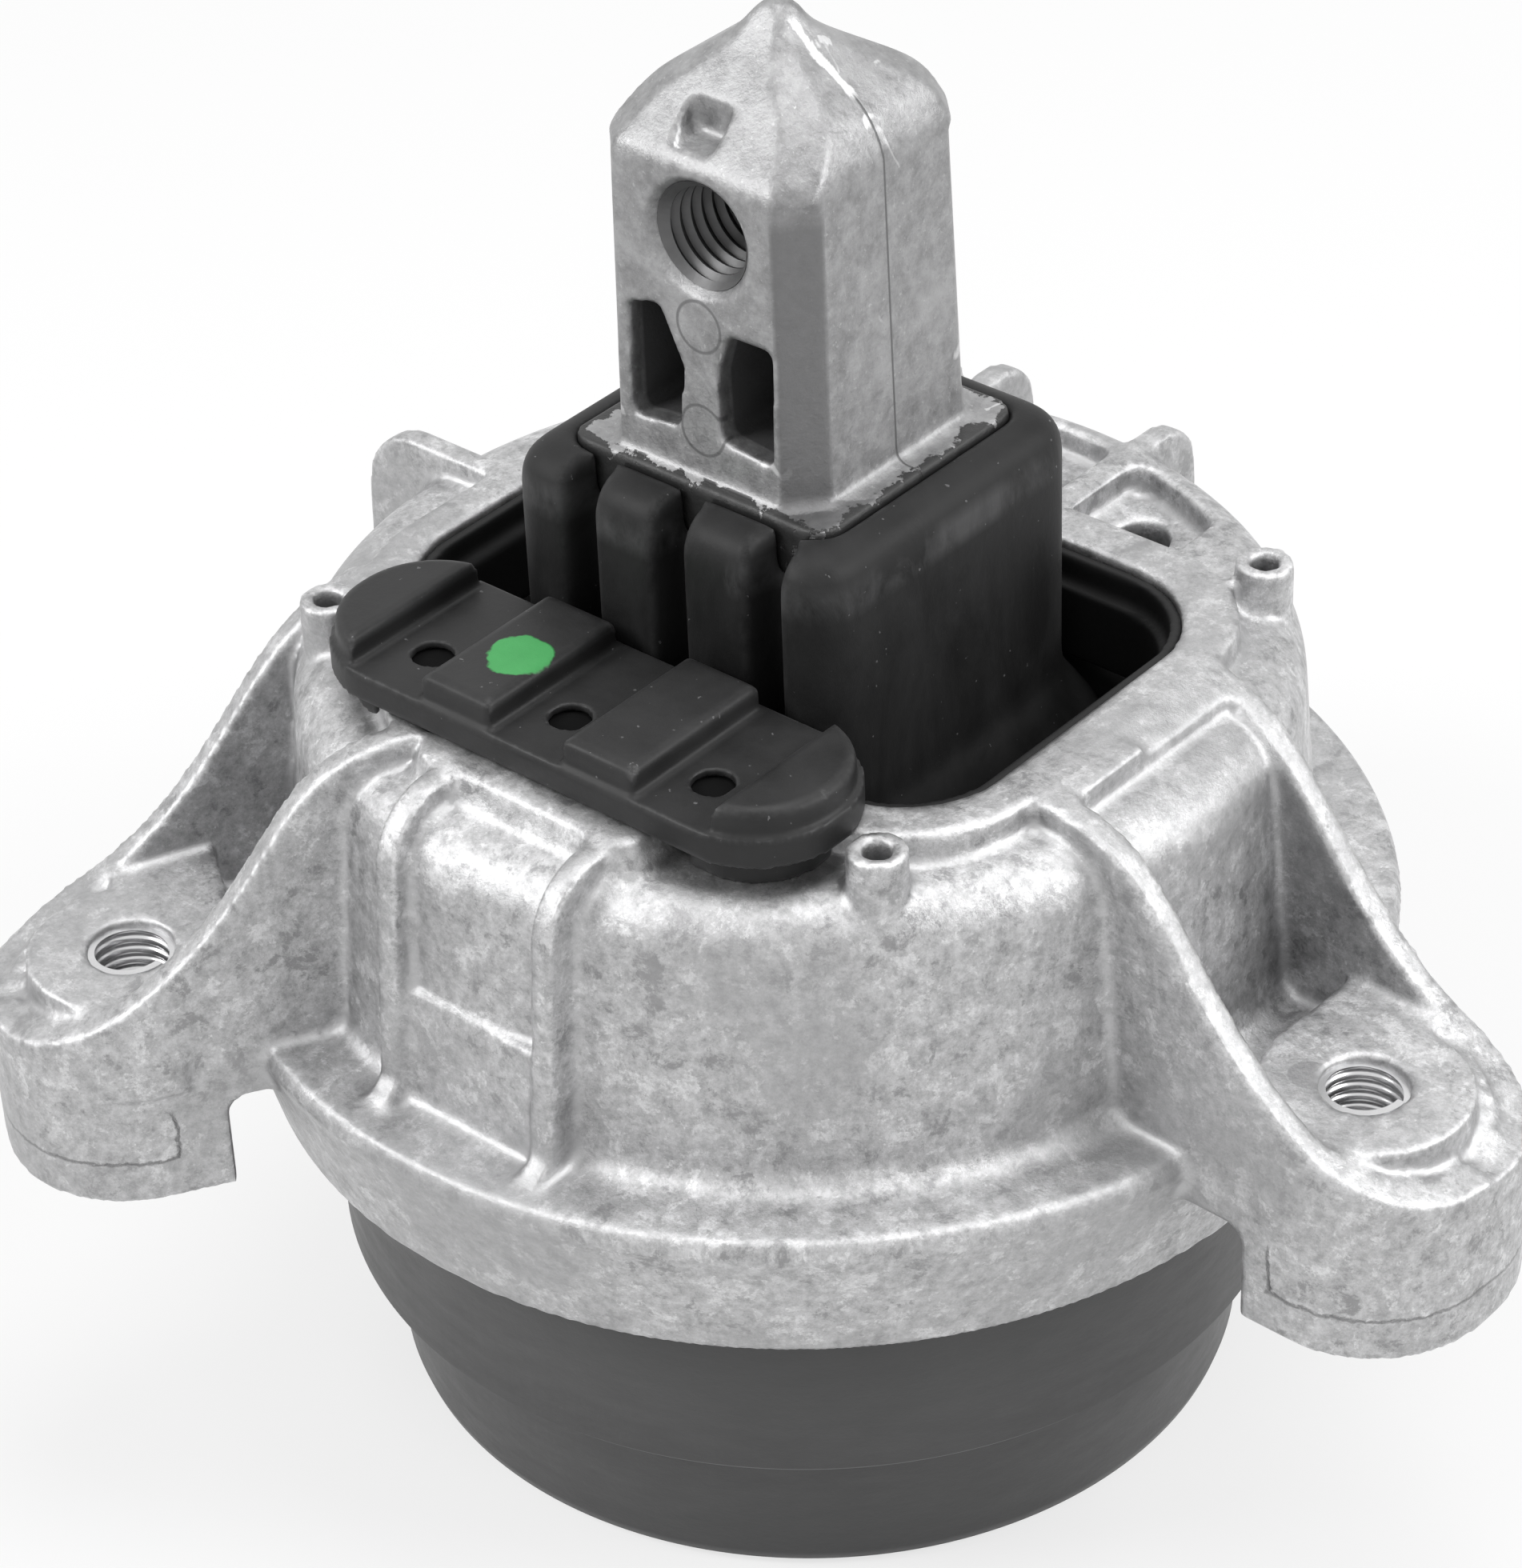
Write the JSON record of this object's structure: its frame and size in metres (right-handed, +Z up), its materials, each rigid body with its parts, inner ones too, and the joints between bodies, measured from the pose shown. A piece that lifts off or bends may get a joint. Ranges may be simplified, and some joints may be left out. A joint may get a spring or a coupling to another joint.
{
  "type": "engine mount",
  "caption": "Fluid-filled engine mount: die-cast housing with ears, a rubber spring round an upright threaded core, and a cup below.",
  "frame": {"origin": "centre of the flat underside of the lower cup", "axes": "+Z up along the cup axis, +X towards the single ear and along the travel stop, -Y is the side of the core with the threaded hole"},
  "size_m": [0.167, 0.1658, 0.1758],
  "materials": {
    "housing_casting": "as cast, tumbled",
    "core_casting": "as cast, matte",
    "turned_aluminium": "turned",
    "plate_aluminium": "as cast",
    "insert_wire": "bright wire",
    "strip_steel": "rolled",
    "spring_rubber": "matte",
    "buffer_rubber": "matte",
    "stop_rubber": "satin",
    "diaphragm_rubber": "matte",
    "decoupler_rubber": "matte",
    "cup_coating": "satin black coating"
  },
  "bodies": {
    "root": {"housing": "housing_casting", "thread_insert_right": "insert_wire", "thread_insert_left": "insert_wire", "thread_insert_rear": "insert_wire", "core": "core_casting", "main_spring": "spring_rubber", "spring_ring": "turned_aluminium", "window_buffer": "buffer_rubber", "travel_stop": "stop_rubber", "stop_strip": "strip_steel", "lower_cup": "cup_coating", "diaphragm": "diaphragm_rubber", "channel_plate_lower": "plate_aluminium", "channel_plate_upper": "plate_aluminium", "decoupler": "decoupler_rubber"}
  },
  "joints": []
}
